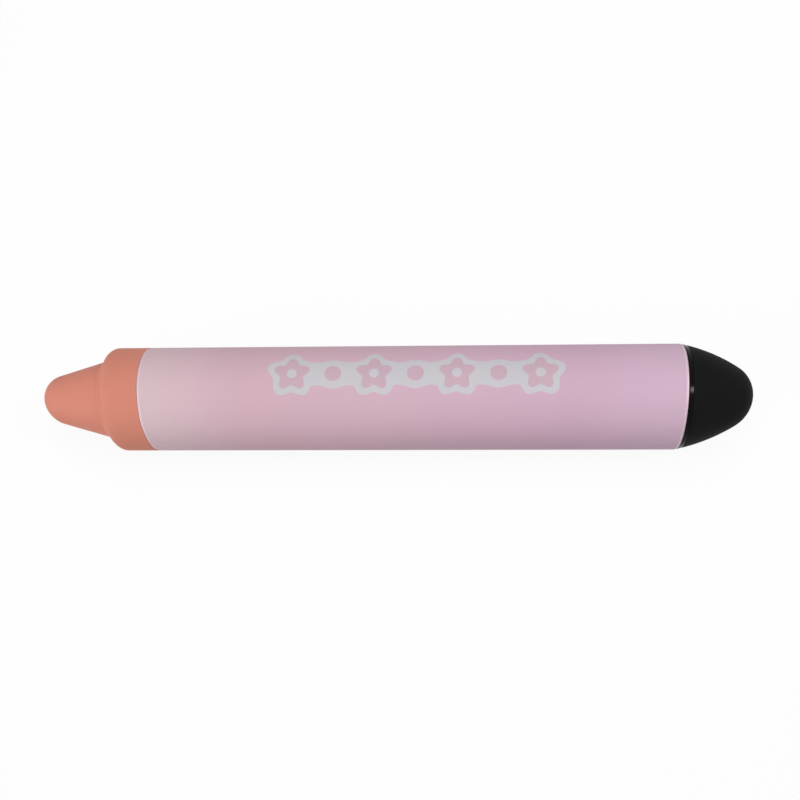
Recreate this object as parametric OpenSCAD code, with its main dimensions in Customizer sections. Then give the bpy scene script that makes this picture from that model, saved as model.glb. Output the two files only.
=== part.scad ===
// Chunky crayon-shaped stylus for touch screens, lying along X.
// The rubber tip points to +X and the crayon nose to -X.
// The origin is on the axis, halfway along the length. All sizes are in millimetres.

/* [Barrel] */
// Outside diameter over the printed wrap
barrel_diameter = 16; // [15:0.5:20]
// Length of the metal tube
tube_length = 82.6; // [60:0.2:120]
// Wall of the metal tube
tube_wall = 0.9; // [0.7:0.1:1.2]
// Width of the bare rim at each end of the tube
tube_reveal = 0.3; // [0.2:0.1:1]
// Bevel on the outer edges of the tube's rims
tube_bevel = 0.1; // [0.05:0.05:0.2]
// Thickness of the printed wrap film
wrap_thickness = 0.15; // [0.1:0.05:0.3]
// Thickness of the adhesive between the wrap and the tube
glue_thickness = 0.02; // [0.02:0.01:0.06]
// Gap where the two edges of the wrap meet along the underside
wrap_seam = 0.3; // [0.2:0.1:1]

/* [Crayon nose] */
// Length of nose that shows beyond the tube
nose_length = 17.9; // [15:0.1:24]
// Radius of the rounded point
point_radius = 3.95; // [3:0.05:4.8]
// Distance of the neck from the tube
neck_distance = 6.9; // [5:0.1:8]
// Diameter at the neck, where the cone meets the shoulder
neck_diameter = 12.2; // [11:0.1:13]
// Rounding of the hollow at the neck
neck_fillet = 1.2; // [0.6:0.1:2]
// Slope of the shoulder, measured from the axis
shoulder_slope = 56; // [40:1:70]
// Rounding of the shoulder's rim
shoulder_rounding = 1.5; // [0.8:0.1:2]
// Wall of the moulding
nose_wall = 1.5; // [1.2:0.1:2]
// Length of the spigot inside the tube
spigot_length = 18; // [10:0.5:24]
// Taper that leads the spigot into the tube
spigot_lead_in = 1; // [0.5:0.1:2]
// Number of crush ribs round the spigot
rib_count = 6; // [4:1:10]
// Width of a crush rib
rib_width = 1.2; // [0.8:0.1:2]
// Height of a crush rib above the spigot
rib_height = 0.3; // [0.2:0.05:0.5]

/* [Rubber tip] */
// Length of tip that shows beyond the tube
tip_length = 11.3; // [10:0.1:14]
// How far the base of the tip and the tube's rims lie inside the wrap's surface
tip_inset = 0.05; // [0:0.01:0.1]
// Radius of the dome's long side curve
dome_side_radius = 28; // [24:0.2:40]
// Radius of the dome's rounded end
dome_end_radius = 5.2; // [4.4:0.1:6]
// Wall of the rubber dome
dome_wall = 1.2; // [1:0.1:1.4]
// Bevel round the base of the dome
dome_bevel = 0.1; // [0.05:0.05:0.3]
// Thickness of the inward lip that holds the dome
lip_thickness = 1.5; // [1.2:0.1:1.8]
// Thickness of the gloss ring behind the dome
ring_thickness = 0.7; // [0.6:0.1:1.2]
// Bevel on the ring's back edge
ring_bevel = 0.1; // [0.05:0.05:0.3]
// Depth of the ring's centring step inside the tube
ring_step = 0.6; // [0.4:0.1:1]

/* [Tip fixing] */
// Outside diameter of the carrier's thread
thread_diameter = 8; // [6:1:8]
// Length of thread that engages the socket
thread_length = 4.7; // [4:0.1:12]
// Bevel on the end of the thread and in the socket's mouth
thread_bevel = 0.6; // [0.4:0.1:0.8]
// Length of socket behind the end of the thread
socket_tail = 2.3; // [1:0.1:4]
// Height of the neck above the thread, where the dome's lip sits
neck_step = 0.5; // [0.3:0.1:0.6]
// Thickness of the head that holds the lip
head_thickness = 1.2; // [0.8:0.1:1.5]
// Radius of the post that backs the dome
post_radius = 2.6; // [2:0.1:2.8]
// Travel of the dome's end before it meets the post
dome_give = 2; // [1.5:0.1:2.5]
// Cord diameter of the O-ring
oring_cord = 1; // [0.8:0.1:1.5]
// Gap between the O-ring and the thread
oring_gap = 0.3; // [0.2:0.1:0.5]

/* [Clearances] */
// Gap left round a pressed-in piece
press_clearance = 0.02; // [0.01:0.01:0.05]
// Gap left round a sliding or screwed piece
running_clearance = 0.1; // [0.05:0.05:0.15]
// Gap between the dome's inside and the head
head_clearance = 0.2; // [0.1:0.05:0.3]
// Gap at each side of the O-ring
oring_clearance = 0.05; // [0.02:0.01:0.1]

/* [Hidden] */

// Sides of a round outline in the preview
round_sides = 180;
// Overrun of a cut, or of a rib's root, past the face it starts from
overrun = 1;
// Depth by which a flank is sunk into the arc that it runs out of
flank_sink = 0.001;

// Positions along the axis
overall_length = nose_length + tube_length + tip_length;
tube_front = overall_length / 2 - tip_length;
tube_back = tube_front - tube_length;

// Radii of the barrel
barrel_radius = barrel_diameter / 2;
film_radius = barrel_radius - wrap_thickness;
tube_radius = film_radius - glue_thickness;
bore_radius = tube_radius - tube_wall;
rim_width = tube_reveal - glue_thickness;

// Cone of the nose: the line through the neck that touches the rounded point
neck_radius = neck_diameter / 2;
neck_position = tube_back - neck_distance;
point_center = tube_back - nose_length + point_radius;
cone_length = neck_position - point_center;
cone_angle = acos(point_radius / norm([cone_length, neck_radius])) - atan2(cone_length, neck_radius);

// Rim of the shoulder: an arc that touches both the shoulder and the collar
rim_radius = barrel_radius - shoulder_rounding;
rim_start_radius = rim_radius + shoulder_rounding * cos(shoulder_slope);
rim_start = neck_position + (rim_start_radius - neck_radius) / tan(shoulder_slope);
rim_center = rim_start + shoulder_rounding * sin(shoulder_slope);

// Hollow of the neck: an arc outside that touches both the cone and the shoulder
fillet_turn = (shoulder_slope - cone_angle) / 2;
fillet_center = [neck_radius, neck_position]
    + neck_fillet / cos(fillet_turn) * flank_normal(cone_angle + fillet_turn);

// Spigot of the nose
spigot_radius = bore_radius - rib_height;
spigot_bore_radius = spigot_radius - nose_wall;
spigot_end = tube_back + spigot_length;
rib_radius = bore_radius - press_clearance;

// Dome: a long side arc that touches the round end from outside
tip_radius = barrel_radius - tip_inset;
end_center = tube_front + tip_length - dome_end_radius;
end_reach = norm([end_center - tube_front, tip_radius]);
end_direction = [-tip_radius, end_center - tube_front] / end_reach;
arc_difference = dome_side_radius - dome_end_radius;
side_along = (dome_side_radius ^ 2 - arc_difference ^ 2 + end_reach ^ 2) / (2 * end_reach);
side_across = sqrt(dome_side_radius ^ 2 - side_along ^ 2);
side_center = [tip_radius, tube_front] + side_along * end_direction
    - side_across * [end_direction[1], -end_direction[0]];

// Stack of the tip, from the tube's end outwards
ring_front = tube_front + ring_thickness;
lip_front = ring_front + lip_thickness;
head_front = lip_front + head_thickness;
post_end = tube_front + tip_length - dome_wall - dome_give;

// Stack of the tip's fixing, from the tube's end inwards
ring_back = tube_front - ring_step;
socket_front = ring_back - oring_cord - 2 * oring_clearance;
thread_end = socket_front - thread_length;
socket_back = thread_end - socket_tail;

// Radii of the tip's fixing
thread_radius = thread_diameter / 2;
thread_bore_radius = thread_radius + running_clearance;
carrier_neck_radius = thread_radius + neck_step;
socket_radius = bore_radius - press_clearance;
oring_radius = thread_radius + oring_gap + oring_cord / 2;

// Radius of the dome at a position along its side, moved inwards by an inset
function dome_radius(position, inset) =
  side_center[0] + sqrt((dome_side_radius - inset) ^ 2 - (position - side_center[1]) ^ 2);

// Position where the side arc of the dome meets its round end
function dome_join(inset) =
  side_center[1] + (dome_side_radius - inset) * (end_center - side_center[1]) / arc_difference;

// Position along the axis at which the inside of the nose cone has a given radius
function inner_cone_position(radius) =
  point_center + (radius - (point_radius - nose_wall) / cos(cone_angle)) / tan(cone_angle);

// Outward direction of a flank of the nose with a given slope from the axis
function flank_normal(slope) = [cos(slope), -sin(slope)];

// Point just under the rounded end of the nose where its cone starts, at a given radius of the end
function cone_start(radius) = [0, point_center] + (radius - flank_sink) * flank_normal(cone_angle);

// Solid of revolution round the X axis: x of the outline is the radius, y is the position
module turned() {
  rotate([0, 90, 0])
    rotate_extrude($fn = round_sides)
      children();
}

// Rectangular section between two positions and two radii
module band(back, front, inner, outer) {
  translate([inner, back])
    square([outer - inner, front - back]);
}

// Half of a round section on the axis
module half_disc(center, radius) {
  intersection() {
    translate([0, center])
      circle(radius, $fn = round_sides);
    band(center - radius, center + radius, 0, radius);
  }
}

// Disc whose edge is the dome's side arc, moved inwards by an inset
module side_disc(inset) {
  translate(side_center)
    circle(dome_side_radius - inset, $fn = 4 * round_sides);
}

// Half outline of the dome in front of a position, moved inwards by an inset
module dome_half(start, inset) {
  intersection() {
    side_disc(inset + flank_sink);
    band(start, dome_join(inset), 0, barrel_radius);
  }
  intersection() {
    half_disc(end_center, dome_end_radius - inset);
    band(end_center, end_center + dome_end_radius, 0, dome_end_radius);
  }
}

// Cone and shoulder of the nose, with the hollow between them
module nose_flanks() {
  difference() {
    polygon([
      [0, point_center],
      cone_start(point_radius),
      fillet_center - neck_fillet * flank_normal(cone_angle),
      fillet_center - neck_fillet * flank_normal(shoulder_slope),
      [rim_radius, rim_center] + (shoulder_rounding - flank_sink) * flank_normal(shoulder_slope),
      [rim_radius, rim_center],
      [0, rim_center]
    ]);
    translate(fillet_center)
      circle(neck_fillet + flank_sink, $fn = round_sides);
  }
}

// Corner that the bevel takes off the dome's base, outside a line through two points of the section
module bevel_corner() {
  inner = [dome_radius(ring_front, dome_bevel), ring_front];
  outer = [dome_radius(ring_front + dome_bevel, 0), ring_front + dome_bevel];
  reach = overrun / dome_bevel * (outer - inner);
  polygon([inner - reach, [outer[0] + reach[0], inner[1] - reach[1]], outer + reach]);
}

// Outside of the nose: rounded point, cone, shoulder, rim, collar and spigot
module nose_outside() {
  half_disc(point_center, point_radius);
  nose_flanks();
  translate([rim_radius, rim_center])
    circle(shoulder_rounding, $fn = round_sides);
  band(rim_center, tube_back, 0, barrel_radius);
  polygon([
    [0, rim_center],
    [spigot_radius, rim_center],
    [spigot_radius, spigot_end - spigot_lead_in],
    [spigot_radius - rib_height, spigot_end],
    [0, spigot_end]
  ]);
}

// Inside of the nose, open at the spigot's end
module nose_inside() {
  half_disc(point_center, point_radius - nose_wall);
  polygon([
    [0, point_center],
    cone_start(point_radius - nose_wall),
    [spigot_bore_radius, inner_cone_position(spigot_bore_radius)],
    [spigot_bore_radius, spigot_end + overrun],
    [0, spigot_end + overrun]
  ]);
}

// Ribs along the spigot, cut round to the tube's bore
module crush_ribs() {
  intersection() {
    for (turn = [0 : rib_count - 1])
      rotate([turn * 360 / rib_count, 0, 0])
        translate([tube_back - overrun, -rib_width / 2, spigot_radius - rib_height])
          cube([spigot_length - spigot_lead_in + overrun, rib_width, 2 * rib_height]);
    turned()
      polygon([
        [0, tube_back - overrun],
        [rib_radius, tube_back - overrun],
        [rib_radius, spigot_end - 2 * spigot_lead_in],
        [spigot_radius, spigot_end - spigot_lead_in],
        [0, spigot_end - spigot_lead_in]
      ]);
  }
}

// Printed film, wrapped once round the tube, with its edges along the underside
module wrap_film() {
  color([0.84, 0.71, 0.75])
    difference() {
      turned()
        band(tube_back + tube_reveal, tube_front - tube_reveal, film_radius, barrel_radius);
      translate([tube_back, -wrap_seam / 2, -barrel_radius - overrun])
        cube([tube_length, wrap_seam, 2 * overrun]);
    }
}

// Metal tube that carries everything, with a shallow recess for the wrap between its rims
module barrel_tube() {
  color([0.88, 0.82, 0.84])
    turned()
      polygon([
        [bore_radius, tube_back],
        [tip_radius - tube_bevel, tube_back],
        [tip_radius, tube_back + tube_bevel],
        [tip_radius, tube_back + rim_width],
        [tube_radius, tube_back + rim_width],
        [tube_radius, tube_front - rim_width],
        [tip_radius, tube_front - rim_width],
        [tip_radius, tube_front - tube_bevel],
        [tip_radius - tube_bevel, tube_front],
        [bore_radius, tube_front]
      ]);
}

// Moulded crayon point with a ribbed spigot inside the tube
module crayon_nose() {
  color([0.86, 0.55, 0.47]) {
    turned()
      difference() {
        nose_outside();
        nose_inside();
      }
    crush_ribs();
  }
}

// Threaded bush pressed into the tube
module tip_socket() {
  color([0.75, 0.75, 0.77])
    turned()
      polygon([
        [thread_bore_radius, socket_back],
        [socket_radius - thread_bevel, socket_back],
        [socket_radius, socket_back + thread_bevel],
        [socket_radius, socket_front],
        [thread_bore_radius + thread_bevel, socket_front],
        [thread_bore_radius, socket_front - thread_bevel]
      ]);
}

// Rubber ring between the gloss ring and the socket
module tip_oring() {
  color([0.1, 0.1, 0.1])
    turned()
      translate([oring_radius, ring_back - oring_clearance - oring_cord / 2])
        circle(oring_cord / 2, $fn = round_sides);
}

// Gloss ring that seats on the tube's end, backs the dome and starts its side curve
module tip_ring() {
  color([0.12, 0.11, 0.11])
    turned() {
      intersection() {
        side_disc(0);
        polygon([
          [thread_bore_radius, tube_front],
          [tip_radius - ring_bevel, tube_front],
          [tip_radius, tube_front + ring_bevel],
          [tip_radius, ring_front],
          [thread_bore_radius, ring_front]
        ]);
      }
      band(ring_back, tube_front, thread_bore_radius, bore_radius - running_clearance);
    }
}

// Turned screw: thread, neck, head and rounded post
module tip_carrier() {
  color([0.78, 0.66, 0.4])
    turned() {
      polygon([
        [0, thread_end],
        [thread_radius - thread_bevel, thread_end],
        [thread_radius, thread_end + thread_bevel],
        [thread_radius, ring_front],
        [carrier_neck_radius, ring_front],
        [carrier_neck_radius, lip_front],
        [dome_radius(lip_front, dome_wall) - head_clearance, lip_front],
        [dome_radius(head_front, dome_wall) - head_clearance, head_front],
        [0, head_front]
      ]);
      band(head_front, post_end - post_radius, 0, post_radius);
      half_disc(post_end - post_radius, post_radius);
    }
}

// Hollow rubber dome, held by a lip between the gloss ring and the carrier's head
module tip_dome() {
  color([0.11, 0.12, 0.12])
    turned()
      difference() {
        dome_half(ring_front, 0);
        dome_half(lip_front, dome_wall);
        band(ring_front - overrun, lip_front + overrun, 0, carrier_neck_radius + press_clearance);
        bevel_corner();
      }
}

wrap_film();
barrel_tube();
crayon_nose();
tip_socket();
tip_oring();
tip_ring();
tip_carrier();
tip_dome();
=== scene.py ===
"""Finished looks of a crayon-shaped touch-screen stylus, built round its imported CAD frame.

The pen lies along X on a pale floor, with its crayon nose towards -X and its rubber tip towards +X.
Sizes are in metres. Each operator makes one piece, or one group of like pieces.
"""

import cmath
import math

import bmesh
import bpy
from bpy.props import FloatProperty, FloatVectorProperty, IntProperty, PointerProperty
from bpy.types import NodeSocket, Operator, Panel, PropertyGroup
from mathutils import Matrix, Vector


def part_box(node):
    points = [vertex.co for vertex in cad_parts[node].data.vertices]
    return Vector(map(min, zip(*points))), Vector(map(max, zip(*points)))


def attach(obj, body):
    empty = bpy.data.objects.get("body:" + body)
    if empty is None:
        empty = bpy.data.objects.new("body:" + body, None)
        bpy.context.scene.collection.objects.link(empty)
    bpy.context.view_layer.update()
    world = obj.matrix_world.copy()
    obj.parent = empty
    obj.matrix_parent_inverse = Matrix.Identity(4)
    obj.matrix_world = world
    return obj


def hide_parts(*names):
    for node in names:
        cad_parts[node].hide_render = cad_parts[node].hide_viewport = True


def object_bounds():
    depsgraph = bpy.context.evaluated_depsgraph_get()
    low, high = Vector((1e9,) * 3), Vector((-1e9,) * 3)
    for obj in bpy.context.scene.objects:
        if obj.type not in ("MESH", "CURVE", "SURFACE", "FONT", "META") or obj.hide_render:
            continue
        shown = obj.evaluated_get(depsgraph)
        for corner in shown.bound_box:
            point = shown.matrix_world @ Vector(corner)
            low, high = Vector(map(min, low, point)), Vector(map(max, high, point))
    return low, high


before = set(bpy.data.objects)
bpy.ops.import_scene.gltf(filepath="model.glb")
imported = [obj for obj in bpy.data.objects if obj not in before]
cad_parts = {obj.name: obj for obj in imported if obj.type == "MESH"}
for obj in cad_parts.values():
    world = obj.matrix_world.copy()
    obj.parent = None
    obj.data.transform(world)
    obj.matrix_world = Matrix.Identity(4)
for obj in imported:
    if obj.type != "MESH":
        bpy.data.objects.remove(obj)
CAD_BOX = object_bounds()

bl_info = {
    "name": "Crayon Stylus",
    "version": (1, 0, 0),
    "blender": (4, 5, 0),
    "location": "3D View > Sidebar > Stylus",
    "description": "Builds the finished pieces of a crayon-shaped touch-screen stylus",
    "category": "Add Mesh",
}

MM = 0.001
FULL_TURN = 2 * math.pi
QUARTER_TURN = math.pi / 2
WHITE = (1.0, 1.0, 1.0, 1.0)

# How finely round shapes are divided
COLUMNS = 240
THREAD_COLUMNS = 120
THREAD_ROWS_PER_TURN = 24
BEVEL_ROWS = 8
MOUTH_ROWS = 12
FILM_ROWS = 40
SPIGOT_ROW = 0.5 * MM
ARC_STEPS = 48
EDGE_STEPS = 6
SHARP_CORNER = math.radians(32)

# How near two points, a point and the axis, or a point and a wall count as one place
SAME_POINT = 1e-8
ON_AXIS = 1e-7
ON_WALL = 2e-6

# Fits and edges inside the tip
LIP_FIT = 0.02 * MM
HEAD_ROUNDING = 0.15 * MM
THREAD_RELIEF = 0.1 * MM
THREAD_FLANK = (0.25, 0.875)

# How wear, handling and grain show
PATCH_RANGE = (0.35, 0.7)
CLOUD_RANGE = (0.3, 0.7)
RIM_FROM_NECK = 2 * MM
CORAL_RUBBED = 0.35
CORAL_CLOUDED = 0.12
FILM_SPECKLE = 0.035
FILM_DARKEST = 0.9725
FILM_MARKED = 0.985
MARGIN_BLUR = 0.3

# What the camera sees, and how node trees are laid out
CAMERA_NEAR = 5 * MM
CAMERA_FAR = 50.0
NODES_PER_ROW = 8
NODE_STEP = (200, -240)


# Places that the CAD frame gives

def span(node):
    """Back and front of a CAD node along the pen, and its outside radius."""
    low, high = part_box(node)
    return low.x, high.x, max(high.y, high.z)


WRAP_BACK, WRAP_FRONT, WRAP_RADIUS = span("wrap_film")
TUBE_BACK, TUBE_FRONT, TUBE_RADIUS = span("barrel_tube")
NOSE_POINT, SPIGOT_END, NOSE_RADIUS = span("crayon_nose")
SOCKET_BACK, SOCKET_FRONT, SOCKET_RADIUS = span("tip_socket")
SEAL_BACK, SEAL_FRONT, SEAL_RADIUS = span("tip_oring")
RING_BACK, RING_FRONT, _ = span("tip_ring")
THREAD_END, POST_END, _ = span("tip_carrier")
DOME_BACK, DOME_END, _ = span("tip_dome")
FLOOR_LEVEL = CAD_BOX[0].z


# Settings that a user would change

def setting(kind, **limits):
    """A maker of settings of one kind."""
    return lambda name, default, text: kind(name=name, default=default, description=text, **limits)


length = setting(FloatProperty, min=0.0, unit="LENGTH", precision=5)
tilt = setting(FloatProperty, subtype="ANGLE")
watts = setting(FloatProperty, min=0.0, unit="POWER")
factor = setting(FloatProperty, min=0.0, max=1.0, subtype="FACTOR")
number = setting(FloatProperty)
whole = setting(IntProperty, min=1)
spot = setting(FloatVectorProperty, size=3, subtype="TRANSLATION")
turning = setting(FloatVectorProperty, size=3, subtype="EULER")
pair = setting(FloatVectorProperty, size=2)
colour = setting(FloatVectorProperty, size=3, min=0.0, max=1.0, subtype="COLOR_GAMMA")


class StylusSizes(PropertyGroup):
    """Sizes of the pieces that the frame's boxes don't give."""

    film_thickness: length("Film thickness", 0.15 * MM, "Thickness of the printed film")
    film_seam: length("Film seam", 0.3 * MM, "Gap between the film's edges along the underside")
    film_glue: length("Film glue", 0.02 * MM, "Thickness of the adhesive under the film")
    tube_wall: length("Tube wall", 0.9 * MM, "Wall of the metal tube under the film")
    tube_bevel: length("Tube bevel", 0.1 * MM, "Bevel on the outer edges of the tube's rims")
    point_radius: length("Point radius", 3.95 * MM, "Radius of the nose's rounded point")
    neck_distance: length("Neck distance", 6.9 * MM, "Distance of the nose's neck from the tube")
    neck_radius: length("Neck radius", 6.1 * MM, "Radius at the neck, where the cone meets the shoulder")
    neck_fillet: length("Neck fillet", 1.2 * MM, "Radius of the hollow at the neck")
    shoulder_slope: tilt("Shoulder slope", math.radians(56), "Slope of the shoulder from the axis")
    shoulder_rounding: length("Shoulder rounding", 1.5 * MM, "Rounding of the shoulder's rim")
    collar_rounding: length("Collar rounding", 0.05 * MM, "Rounding of the collar's edge at the tube")
    nose_wall: length("Nose wall", 1.5 * MM, "Wall of the moulded nose")
    spigot_radius: length("Spigot radius", 6.63 * MM, "Radius of the spigot between its ribs")
    spigot_lead_in: length("Spigot lead-in", 1.0 * MM, "Taper that leads the spigot into the tube")
    rib_count: whole("Rib count", 6, "Crush ribs round the spigot")
    rib_width: length("Rib width", 1.2 * MM, "Width of a crush rib")
    rib_height: length("Rib height", 0.28 * MM, "Height of a crush rib above the spigot")
    dome_side_radius: length("Dome side radius", 28.0 * MM, "Radius of the dome's long side curve")
    dome_end_radius: length("Dome end radius", 5.2 * MM, "Radius of the dome's rounded end")
    dome_wall: length("Dome wall", 1.2 * MM, "Wall of the rubber dome")
    dome_bevel: length("Dome bevel", 0.1 * MM, "Bevel round the base of the dome")
    lip_thickness: length("Lip thickness", 1.5 * MM, "Thickness of the dome's inward lip")
    ring_bevel: length("Ring bevel", 0.1 * MM, "Bevel on the gloss ring's back edge")
    ring_bore: length("Ring bore", 4.1 * MM, "Radius of the hole through the gloss ring")
    ring_step: length("Ring step radius", 6.83 * MM, "Radius of the ring's centring step")
    thread_radius: length("Thread radius", 4.0 * MM, "Outside radius of the carrier's thread")
    thread_pitch: length("Thread pitch", 1.25 * MM, "Travel of the tip for one turn")
    thread_depth: length("Thread depth", 0.65 * MM, "Depth of the thread's groove")
    thread_gap: length("Thread gap", 0.1 * MM, "Radial gap between the two threads")
    thread_bevel: length("Thread bevel", 0.6 * MM, "Bevel at the ends of the threads")
    carrier_neck: length("Carrier neck radius", 4.5 * MM, "Radius of the neck inside the dome's lip")
    head_thickness: length("Head thickness", 1.2 * MM, "Thickness of the head that holds the lip")
    head_gap: length("Head gap", 0.2 * MM, "Gap between the carrier's head and the dome's inside")
    post_radius: length("Post radius", 2.6 * MM, "Radius of the post that backs the dome")


class StylusColours(PropertyGroup):
    """Colours of the finishes."""

    wrap_nose_end: colour("Wrap, nose end", (0.843, 0.710, 0.745), "Film towards the crayon nose")
    wrap_tip_end: colour("Wrap, tip end", (0.822, 0.685, 0.778), "Film towards the rubber tip")
    wrap_margin: colour("Wrap margin", (0.930, 0.880, 0.895), "Unprinted edge of the film")
    print_pale: colour("Print, pale", (0.800, 0.788, 0.812), "Pale ground of the printed motif")
    print_deep: colour("Print, deep", (0.805, 0.685, 0.740), "Blossoms and dots of the printed motif")
    coral: colour("Coral", (0.856, 0.550, 0.474), "Moulded crayon nose")
    coral_scuff: colour("Coral scuff", (0.870, 0.590, 0.515), "Rubbed edges of the crayon nose")
    tube_metal: colour("Tube metal", (0.780, 0.700, 0.735), "Bare ends of the tube")
    aluminium: colour("Aluminium", (0.880, 0.860, 0.870), "Threaded socket")
    brass: colour("Brass", (0.870, 0.740, 0.470), "Carrier screw")
    ring_black: colour("Ring black", (0.028, 0.018, 0.026), "Gloss ring")
    dome_black: colour("Dome black", (0.078, 0.082, 0.080), "Rubber dome")
    seal_black: colour("Seal black", (0.100, 0.100, 0.105), "O-ring")
    floor: colour("Floor", (0.740, 0.740, 0.740), "Floor, where it isn't seen as white")


class StylusPrint(PropertyGroup):
    """Row of blossoms and dots printed on the wrap."""

    center: length("Centre", 4.35 * MM, "Middle of the row along the pen")
    turn: tilt("Turn", math.radians(13.5), "Middle of the row round the pen, from the top")
    spacing: length("Spacing", 6.2 * MM, "Distance from a blossom to the next dot")
    blossom_radius: length("Blossom radius", 2.3 * MM, "Mean radius of a blossom")
    petals: whole("Petals", 5, "Petals of a blossom")
    petal_depth: factor("Petal depth", 0.2, "How deep the petals are cut")
    eye_radius: length("Eye radius", 0.75 * MM, "Radius of a blossom's pale middle")
    dot_radius: length("Dot radius", 1.25 * MM, "Radius of a dot")
    halo: length("Halo", 1.1 * MM, "Width of the pale ground round each shape")
    band: length("Band", 1.9 * MM, "Half width of the pale band that joins the shapes")
    softness: length("Softness", 0.07 * MM, "Softness of the print's edges")
    margin: length("Margin", 0.06 * MM, "Unprinted edge of the film beside each rim")
    fade: length("Fade", 17.0 * MM, "Distance over which the pink thins out towards the film's ends")
    nose_fade: factor("Nose fade", 0.23, "How much the pink thins out at the nose")
    tip_fade: factor("Tip fade", 0.11, "How much the pink thins out at the tip")


class StylusStage(PropertyGroup):
    """Camera, light and floor."""

    camera_place: spot("Camera place", (15.65 * MM, -35.12 * MM, 135.79 * MM), "Where the camera stands")
    camera_turn: turning("Camera turn", (0.0238, 0.0526, 0.0073), "Turn of the camera, Z first")
    camera_lens: number("Camera lens", 39.06, "Focal length in millimetres")
    camera_shift: pair("Camera shift", (-0.055, 0.2509), "Shift of the picture")
    nose_lamp: spot("Nose lamp", (-0.401, -0.198, 0.124), "Where the lamp beyond the nose stands")
    nose_lamp_power: watts("Nose lamp power", 0.93, "Power of the lamp beyond the nose")
    nose_lamp_size: length("Nose lamp size", 0.20, "Side of the lamp beyond the nose")
    tip_lamp: spot("Tip lamp", (0.318, 0.022, 0.362), "Where the lamp beyond the tip stands")
    tip_lamp_power: watts("Tip lamp power", 0.4, "Power of the lamp beyond the tip")
    tip_lamp_size: length("Tip lamp size", 0.06, "Side of the lamp beyond the tip")
    top_lamp: spot("Top lamp", (0.012, 0.037, 0.162), "Where the lamp over the pen hangs")
    top_lamp_power: watts("Top lamp power", 0.115, "Power of the lamp over the pen")
    top_lamp_size: length("Top lamp size", 0.10, "Side of the lamp over the pen")
    fill: factor("Fill", 0.367, "Strength of the light from all round")
    shadow: factor("Shadow", 0.08, "How much of the pen's shadow the white floor shows")
    shadow_start: length("Shadow start", 0.12, "Distance where the floor starts to melt into white")
    shadow_end: length("Shadow end", 0.60, "Distance where the floor is all white")
    floor_size: length("Floor size", 8.0, "Side of the floor")


def settings(name):
    """One of the scene's groups of settings."""
    return getattr(bpy.context.scene, "stylus_" + name)


# Node trees

class Wire:
    """An output of a node. Arithmetic with it adds Math nodes to its tree."""

    def __init__(self, socket):
        self.socket = socket
        self.tree = socket.id_data

    def __add__(self, other):
        return calc("ADD", self, other)

    def __sub__(self, other):
        return calc("SUBTRACT", self, other)

    def __rsub__(self, other):
        return calc("SUBTRACT", other, self)

    def __mul__(self, other):
        return calc("MULTIPLY", self, other)

    def __truediv__(self, other):
        return calc("DIVIDE", self, other)

    def __rtruediv__(self, other):
        return calc("DIVIDE", other, self)

    def __abs__(self):
        return calc("ABSOLUTE", self)


def plug(source, socket):
    """Links an input to the output that feeds it, or sets it to a plain value."""
    if isinstance(source, Wire):
        source = source.socket
    if isinstance(source, NodeSocket):
        socket.id_data.links.new(source, socket)
    else:
        socket.default_value = source


def add_node(tree, kind, inputs=None, **options):
    """Adds a node, sets its options and feeds its inputs."""
    node = tree.nodes.new(kind)
    row, column = divmod(len(tree.nodes), NODES_PER_ROW)
    node.location = (NODE_STEP[0] * column, NODE_STEP[1] * row)
    for option, value in options.items():
        setattr(node, option, value)
    for name, source in (inputs or {}).items():
        plug(source, node.inputs[name])
    return node


def wire(tree, kind, inputs=None, output=0, **options):
    """One output of a new node."""
    return Wire(add_node(tree, kind, inputs, **options).outputs[output])


def calc(operation, *sources, clamp=False):
    """Result of a Math node, in the tree of its first wire."""
    tree = next(source.tree for source in sources if isinstance(source, Wire))
    return wire(tree, "ShaderNodeMath", dict(enumerate(sources)), operation=operation, use_clamp=clamp)


def ramp(value, low, high, start=0.0, end=1.0, smooth=True):
    """Value eased, or led straight, from start to end between two limits."""
    limits = {"From Min": low, "From Max": high, "To Min": start, "To Max": end}
    return wire(value.tree, "ShaderNodeMapRange", {"Value": value, **limits}, "Result",
                interpolation_type="SMOOTHSTEP" if smooth else "LINEAR")


def mix(share, first, second):
    """Blend of two colours, whose sockets are the Mix node's seventh and eighth."""
    return wire(share.tree, "ShaderNodeMix", {0: share, 6: first, 7: second}, 2, data_type="RGBA")


def axes(vector):
    """The three parts of a vector."""
    return [Wire(part) for part in add_node(vector.tree, "ShaderNodeSeparateXYZ", {0: vector}).outputs]


def combined(x, y, z=0.0):
    """A vector of three parts."""
    return wire(x.tree, "ShaderNodeCombineXYZ", {"X": x, "Y": y, "Z": z})


def distance(across, up):
    """Length of a way that leads across and up."""
    return calc("SQRT", across * across + up * up)


def object_place(tree):
    """Coordinates on the piece itself."""
    return wire(tree, "ShaderNodeTexCoord", output="Object")


def noise(place, size, detail=3.0):
    """Noise between 0 and 1, in spots of about a given size."""
    return wire(place.tree, "ShaderNodeTexNoise", {"Vector": place, "Scale": 1.0 / size, "Detail": detail})


def tree_named(name):
    """Lets a function make the node tree of that name, unless it is there already."""
    def wrap(make):
        return lambda: bpy.data.node_groups.get(name) or make(name)
    return wrap


def new_group(name, kind, inputs, outputs):
    """A node group with named sockets, and the sockets of its two end nodes.

    An input is given by its default, or by its socket's kind where it has none.
    """
    group = bpy.data.node_groups.new(name, kind)

    def add_socket(title, sort, way):
        return group.interface.new_socket(title, in_out=way, socket_type="NodeSocket" + sort)

    for title, default in inputs.items():
        if isinstance(default, str):
            add_socket(title, default, "INPUT")
        else:
            add_socket(title, type(default).__name__.title(), "INPUT").default_value = default
    for title, sort in outputs.items():
        add_socket(title, sort, "OUTPUT")
    given = {socket.name: Wire(socket) for socket in group.nodes.new("NodeGroupInput").outputs}
    return group, given, group.nodes.new("NodeGroupOutput").inputs


# Effects that several finishes share

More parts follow.
